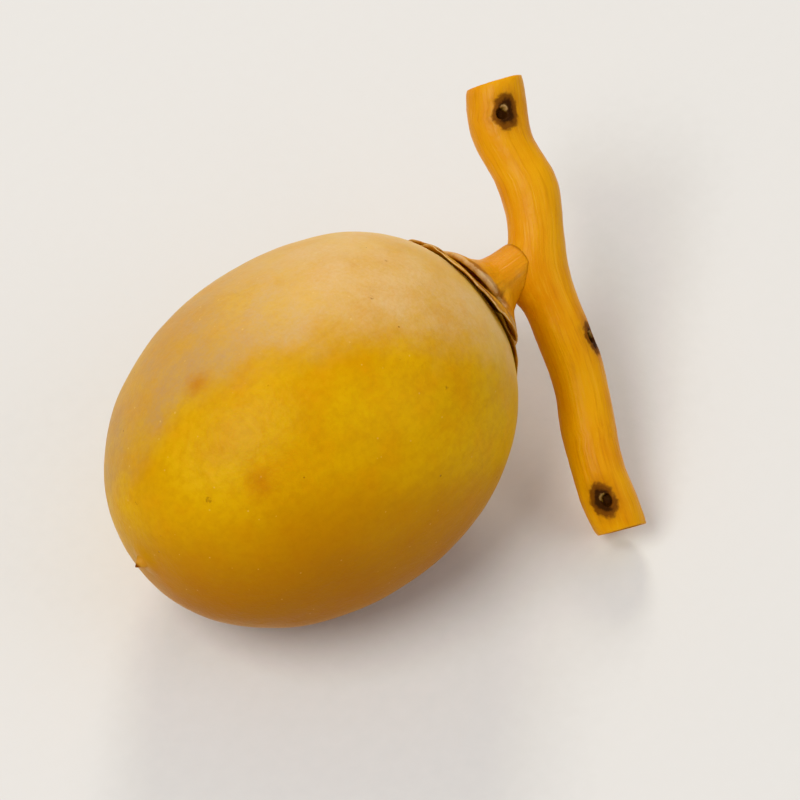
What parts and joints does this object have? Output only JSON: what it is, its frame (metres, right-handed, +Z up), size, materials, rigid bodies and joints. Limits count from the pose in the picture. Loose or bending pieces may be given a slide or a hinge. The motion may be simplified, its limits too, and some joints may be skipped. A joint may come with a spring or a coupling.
{
  "type": "fresh date",
  "caption": "Fresh yellow date lying on its side, with its lapped petals and calyx, on the short zigzag piece of strand that it was cut with.",
  "frame": {"origin": "middle of the small flat spot on the belly of the fruit, where it rests", "axes": "+X from the tip of the fruit to its cap, +Z up from the surface that it rests on"},
  "size_m": [0.0499, 0.0336, 0.0277],
  "materials": {
    "fruit_skin": "smooth waxy golden-yellow skin with a pale bloom and small brown scuffs",
    "dry_petal": "matt fibrous yellow-tan petals with brown blotches and thin pale papery edges",
    "dry_calyx": "matt orange-yellow calyx with brown rims and a neck like the strand",
    "strand_skin": "satin orange-gold stalk skin with dark brown scars and pale fibrous cut ends"
  },
  "bodies": {
    "root": {"fruit": "fruit_skin", "petals": "dry_petal", "calyx": "dry_calyx", "strand": "strand_skin"}
  },
  "joints": []
}
